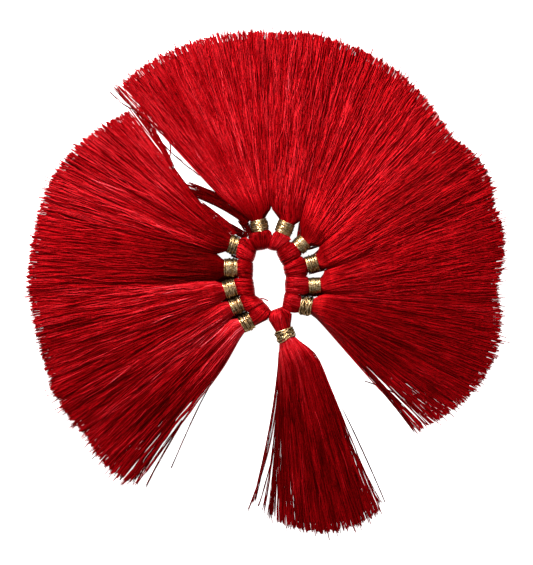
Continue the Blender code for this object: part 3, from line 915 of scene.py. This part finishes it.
wrap, put, given = geometry_tree(
    "wound thread",
    Int=("Turns", "Crossings", "Seed"),
    Float=("Length", "Half Width", "Half Height", "Heading", "Thickness", "Unevenness", "Slant"),
    Vector=("Place",),
)
index = put("GeometryNodeInputIndex")
radius = put(MATH, given["Thickness"], 0.5, operation="MULTIPLY")
profile = put("GeometryNodeCurvePrimitiveCircle", 5, 1.0)
turned = put(MATH, index, math.tau / TURN_STEPS, operation="MULTIPLY")
cosine = put(MATH, turned, operation="COSINE")
sine = put(MATH, turned, operation="SINE")
turn_number = put(MATH, index, 1.0 / TURN_STEPS, operation="MULTIPLY")
lowest = put(MATH, given["Half Height"], -1.0, operation="MULTIPLY")
layers = []
for turns, raised, slanted, spread in (("Turns", 0.0, 0.15, 1.0), ("Crossings", 0.8, 1.0, 0.5)):
    count = put(MATH, given[turns], float(TURN_STEPS), operation="MULTIPLY")
    part = put(MATH, index, count, operation="DIVIDE")
    spot = put(COMBINE, turn_number, cosine, given["Seed"])
    noise = put(NOISE, spot, 0.9, 1.0, 0.5)
    noises = put(SEPARATE, noise.node.outputs["Color"]).node.outputs
    forward = put(MATH, part, 0.5, operation="SUBTRACT")
    length = put(MATH, given["Length"], spread, operation="MULTIPLY")
    forward = put(MATH, forward, length, operation="MULTIPLY")
    sway = put(MATH, noises["X"], 0.5, operation="SUBTRACT")
    forward = put(MATH, sway, given["Unevenness"], forward, operation="MULTIPLY_ADD")
    phase = put(MATH, turn_number, 2.4, operation="MULTIPLY")
    phase = put(MATH, phase, turned)
    tilt = put(MATH, phase, operation="COSINE")
    slant = put(MATH, given["Slant"], slanted, operation="MULTIPLY")
    forward = put(MATH, tilt, slant, forward, operation="MULTIPLY_ADD")
    swell = put(MATH, noises["Y"], 0.1, 0.95, operation="MULTIPLY_ADD")
    across = []
    for size, turning in (("Half Width", cosine), ("Half Height", sine)):
        out = put(MATH, given["Thickness"], raised, given[size], operation="MULTIPLY_ADD")
        out = put(MATH, out, turning, operation="MULTIPLY")
        across.append(put(MATH, out, swell, operation="MULTIPLY"))
    # Underneath, the turns are pressed flat on the surface.
    across[1] = put(MATH, across[1], lowest, operation="MAXIMUM")
    place = put(COMBINE, forward, *across)
    wound = put("GeometryNodePoints", count, place)
    # Painted shade: the turns are coloured dark brown down their sides and underneath and pale on
    # top, as the light falls. The noise adds random patches of tarnish.
    dull = put(MAP_RANGE, sine, 0.1, 0.6, 0.9, 0.0)
    worn = put(MAP_RANGE, noises["Z"], 0.5, 0.68, 0.0, 0.8)
    dull = put(MATH, dull, worn, operation="MAXIMUM")
    wound = put(STORE, wound, None, "dull", dull)
    wound = put("GeometryNodePointsToCurves", wound)
    layers.append(put("GeometryNodeCurveToMesh", wound, profile, radius, True))

# Under the turns lies the first layer of the same thread, seen only between them. It is coloured
# dark brown all over, as painted shade between the turns.
core = put(
    "GeometryNodeMeshCylinder",
    inputs=(("Vertices", 28), ("Radius", 1.0), ("Depth", given["Length"])),
)
core_size = put(COMBINE, given["Half Height"], given["Half Width"], 1.0)
core_size = put(VECTOR_MATH, core_size, (0.97, 0.97, 1.0), operation="MULTIPLY")
core = put(
    "GeometryNodeTransform",
    inputs=(("Geometry", core), ("Rotation", (0.0, math.pi / 2, 0.0)), ("Scale", core_size)),
)
core = put(STORE, core, None, "dull", 1.0)
joined = wrap.nodes.new("GeometryNodeJoinGeometry")
for layer in (*layers, core):
    wrap.links.new(layer, joined.inputs[0])
wound = joined.outputs[0]
turn_to = put(COMBINE, 0.0, 0.0, given["Heading"])
wound = put(
    "GeometryNodeTransform",
    inputs=(("Geometry", wound), ("Translation", given["Place"]), ("Rotation", turn_to)),
)
wound = put("GeometryNodeRealizeInstances", wound)
wound = put("GeometryNodeSetMaterial", wound, None, given["Material"])
put("NodeGroupOutput", wound)

# Gold thread: a thin strip of gilded metal foil wrapped round a fibre core. Its colour breaks up
# along it. It is painted pale on top and dark brown down the sides, underneath and between the
# turns, as painted shade, and has random patches of tarnish besides.
gold, put = blank_material("gold foil thread")
coordinates = put("ShaderNodeTexCoord").node.outputs["Object"]
strip = put(NOISE, coordinates, 2600.0, 2.0, 0.6)
ramp = put("ShaderNodeValToRGB", strip)
stops = ramp.node.color_ramp
stops.elements[0].position, stops.elements[0].color = 0.32, linear("#583618")
stops.elements[1].position, stops.elements[1].color = 0.66, linear("#F2DFBC")
stops.elements.new(0.5).color = linear("#B8945F")
dull = put("ShaderNodeAttribute", attribute_name="dull").node.outputs["Fac"]
colour = put("ShaderNodeMix", dull, ramp, linear("#2A1508"), data_type="RGBA")
shader = put(
    "ShaderNodeBsdfPrincipled",
    inputs=(
        ("Base Color", colour),
        ("Metallic", 1.0),
        ("Roughness", 0.32),
        ("Specular Tint", linear("#6A4A28")),
    ),
)
put("ShaderNodeOutputMaterial", shader)

for number, (tassel, winding) in enumerate(zip(TASSELS, WINDINGS), 1):
    wound = plain_piece(
        bpy.data.meshes.new(f"tassel_{number:02d}_winding"),
        wrap,
        {
            "Turns": winding.turns,
            "Crossings": winding.crossings,
            "Length": (tassel.length - winding.thickness) * MM,
            "Half Width": tassel.width / 2 * MM,
            "Half Height": (HEIGHT / 2 - winding.thickness / 2) * MM,
            "Place": (tassel.neck_x * MM, tassel.neck_y * MM, HEIGHT / 2 * MM),
            "Heading": math.radians(tassel.heading),
            "Thickness": winding.thickness * MM,
            "Unevenness": winding.unevenness * MM,
            "Slant": winding.slant * MM,
            "Seed": 7 * number,
            "Material": gold,
        },
    )
    finish_piece(wound, "gold_thread", f"tassel_{number:02d}_binding")

# Cord ----------------------------------------------------------------------------------------
# A three-ply silk cord that every tassel is folded over, closed into a loop. The heads cover all
# of it.

CORD_DIAMETER = 1.2
PLIES = 3
CORD_STEPS = 180
CORD_TWISTS = 22
LOOP_STEPS = 6

twisted, put, given = geometry_tree(
    "twisted cord", Int=("Plies", "Steps", "Twists"), Float=("Diameter",)
)
points_each, _, ply, part = points_of_strands(put, given["Steps"])
route = put("GeometryNodeMeshToCurve", given["Guide"])
route = put("GeometryNodeSampleCurve", inputs=(("Curves", route), ("Factor", part)))
tangent, centre = route.node.outputs["Tangent"], route.node.outputs["Position"]
sideways = put(VECTOR_MATH, tangent, (0.0, 0.0, 1.0), operation="CROSS_PRODUCT")
turned = put(MATH, part, given["Twists"], operation="MULTIPLY")
share = put(MATH, ply, given["Plies"], operation="DIVIDE")
turned = put(MATH, turned, share)
turned = put(MATH, turned, math.tau, operation="MULTIPLY")
out = put(MATH, given["Diameter"], 0.26, operation="MULTIPLY")
ply_radius = put(MATH, given["Diameter"], 0.24, operation="MULTIPLY")
across = put(MATH, turned, operation="COSINE")
across = put(MATH, across, out, operation="MULTIPLY")
upwards = put(MATH, turned, operation="SINE")
upwards = put(MATH, upwards, out, operation="MULTIPLY")
sideways = put(VECTOR_MATH, sideways, operation="SCALE", inputs=(("Scale", across),))
upwards = put(COMBINE, 0.0, 0.0, upwards)
place = put(VECTOR_MATH, centre, sideways)
place = put(VECTOR_MATH, place, upwards)
count = put(MATH, points_each, given["Plies"], operation="MULTIPLY")
cord = put("GeometryNodePoints", count, place)
cord = put("GeometryNodePointsToCurves", cord, ply)
profile = put("GeometryNodeCurvePrimitiveCircle", 6, 1.0)
cord = put("GeometryNodeCurveToMesh", cord, profile, ply_radius, True)
cord = put("GeometryNodeRealizeInstances", cord)
cord = put("GeometryNodeSetMaterial", cord, None, given["Material"])
put("NodeGroupOutput", cord)

# Twisted silk cord: the same dyed silk, spun hard, so it is darker and duller than the floss.
cord_silk, put = blank_material("twisted silk cord")
coordinates = put("ShaderNodeTexCoord").node.outputs["Object"]
fibres = put(NOISE, coordinates, 3000.0, 2.0, 0.6)
ramp = put("ShaderNodeValToRGB", fibres)
stops = ramp.node.color_ramp
stops.elements[0].position, stops.elements[0].color = 0.3, linear("#5A0208")
stops.elements[1].position, stops.elements[1].color = 0.7, linear("#A00A14")
shader = put(
    "ShaderNodeBsdfPrincipled",
    inputs=(("Base Color", ramp), ("Roughness", 0.5), ("IOR", 1.55)),
)
put("ShaderNodeOutputMaterial", shader)

middles = [Vector(((s.outer_x + s.inner_x) / 2, (s.outer_y + s.inner_y) / 2)) for s in SEAMS]
loop = []
for number in range(len(middles)):
    a, b, c, d = (middles[(number + k) % len(middles)] for k in (-1, 0, 1, 2))
    bend = smooth_bend(b, (c - a) / 2, c, (d - b) / 2, LOOP_STEPS)
    loop += [Vector((*place, HEIGHT / 2)) * MM for place in bend]
route = bpy.data.meshes.new("stringing_cord_plies")
route.from_pydata(loop, [(i, (i + 1) % len(loop)) for i in range(len(loop))], [])
cord = plain_piece(
    route,
    twisted,
    {
        "Plies": PLIES,
        "Steps": CORD_STEPS,
        "Twists": CORD_TWISTS,
        "Diameter": CORD_DIAMETER * MM,
        "Material": cord_silk,
    },
)
finish_piece(cord, "cord", "stringing_cord")

# Surface, light and camera -------------------------------------------------------------------
# A sheet of white acrylic lit faintly from below, under soft light from the upper left, seen
# from straight above.

FLOOR_REACH = 1.5
floor_mesh = bpy.data.meshes.new("table_top")
corners = [(x * FLOOR_REACH, y * FLOOR_REACH, 0) for x, y in ((-1, -1), (1, -1), (1, 1), (-1, 1))]
floor_mesh.from_pydata(corners, [], [(0, 1, 2, 3)])
floor = in_scene("table_top", floor_mesh)
acrylic = bpy.data.materials.new("white acrylic, lit from below")
acrylic.use_nodes = True
sheet = acrylic.node_tree.nodes["Principled BSDF"].inputs
sheet["Base Color"].default_value = linear("#D8D8D8")
sheet["Roughness"].default_value = 0.8
sheet["Emission Color"].default_value = linear("#FFFFFF")
sheet["Emission Strength"].default_value = 0.85
floor_mesh.materials.append(acrylic)


def panel_light(name, place, size, power):
    """A square soft light that faces the ring."""
    lamp = bpy.data.lights.new(name, "AREA")
    lamp.size, lamp.energy = size, power
    light = in_scene(name, lamp)
    light.location = place
    light.rotation_euler = (-Vector(place)).to_track_quat("-Z", "Y").to_euler()


panel_light("key light", (-0.10, 0.26, 0.24), 0.14, 4.2)
panel_light("overhead light", (0.0, 0.0, 0.9), 0.7, 3.6)

world = bpy.data.worlds.new("studio")
world.use_nodes = True
world.node_tree.nodes["Background"].inputs["Color"].default_value = (1, 1, 1, 1)
world.node_tree.nodes["Background"].inputs["Strength"].default_value = 0.35
bpy.context.scene.world = world
bpy.context.scene.view_settings.view_transform = "Standard"

CAMERA_HEIGHT = 0.7
VIEW_HEIGHT = 0.2034
lens = bpy.data.cameras.new("camera")
lens.sensor_width = 36.0
lens.lens = lens.sensor_width * CAMERA_HEIGHT / VIEW_HEIGHT
lens.clip_start = 0.01
camera = in_scene("camera", lens)
camera.location = (0.00018, -0.00018, CAMERA_HEIGHT)
bpy.context.scene.camera = camera
